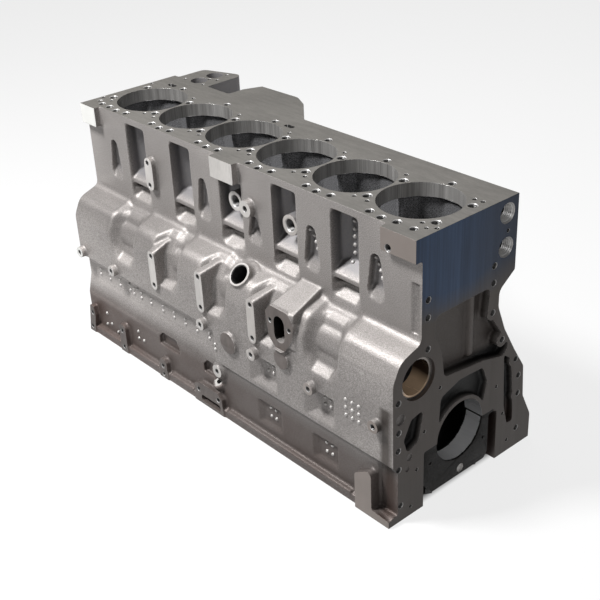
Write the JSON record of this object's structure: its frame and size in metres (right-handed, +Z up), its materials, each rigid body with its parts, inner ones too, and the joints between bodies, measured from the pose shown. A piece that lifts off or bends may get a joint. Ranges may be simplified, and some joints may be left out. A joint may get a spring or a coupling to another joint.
{
  "type": "engine block",
  "caption": "Inline diesel engine block casting with open liner bores, camshaft tunnel, windowed side wall and bolted main bearing caps.",
  "frame": {"origin": "on the crankshaft axis, halfway along the row of cylinders", "axes": "+X along the crankshaft towards the front end face, -Y towards the camshaft side, +Z up through the deck"},
  "size_m": [0.85, 0.3598, 0.465],
  "materials": {
    "cast_iron": "sand-cast and blasted, machined faces bright",
    "cap_iron": "dark cast iron, machined bore",
    "bronze": "bored bronze",
    "bolt_steel": "dark phosphated steel"
  },
  "bodies": {
    "root": {"cylinder_block": "cast_iron", "main_bearing_cap_1": "cap_iron", "main_bearing_cap_2": "cap_iron", "main_bearing_cap_3": "cap_iron", "main_bearing_cap_4": "cap_iron", "main_bearing_cap_5": "cap_iron", "main_bearing_cap_6": "cap_iron", "main_bearing_cap_7": "cap_iron", "front_cam_bush": "bronze", "main_cap_bolts": "bolt_steel"}
  },
  "joints": []
}
